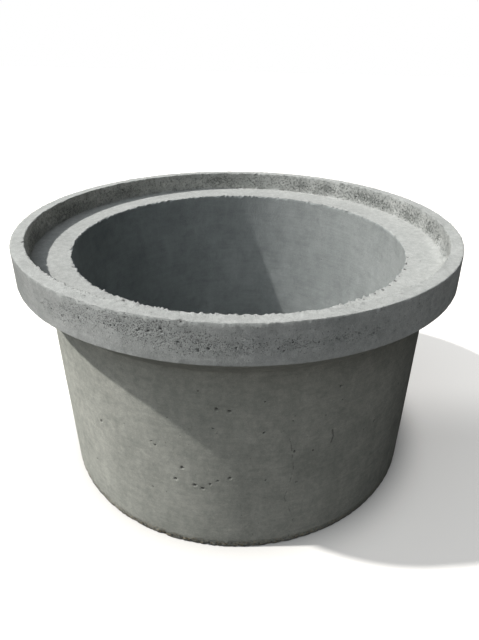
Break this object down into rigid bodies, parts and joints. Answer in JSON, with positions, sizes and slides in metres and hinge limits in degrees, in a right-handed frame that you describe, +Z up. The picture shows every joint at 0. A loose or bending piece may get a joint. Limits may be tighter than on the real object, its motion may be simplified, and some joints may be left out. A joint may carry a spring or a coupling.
{
  "type": "spigot and socket concrete pipe",
  "caption": "Short precast concrete drain pipe: round barrel with a plain spigot end, and a shouldered socket with a sloping haunch below it.",
  "frame": {"origin": "centre of the spigot end, on the plane it stands on", "axes": "+Z up along the pipe's axis from the spigot end to the socket's mouth; the pipe is round, so +X and +Y are any two square directions, with -Y facing the viewer"},
  "size_m": [1.295, 1.295, 0.75],
  "materials": {
    "concrete": "matte cast concrete, grey, lightly pitted"
  },
  "bodies": {
    "root": {"pipe": "concrete"}
  },
  "joints": []
}
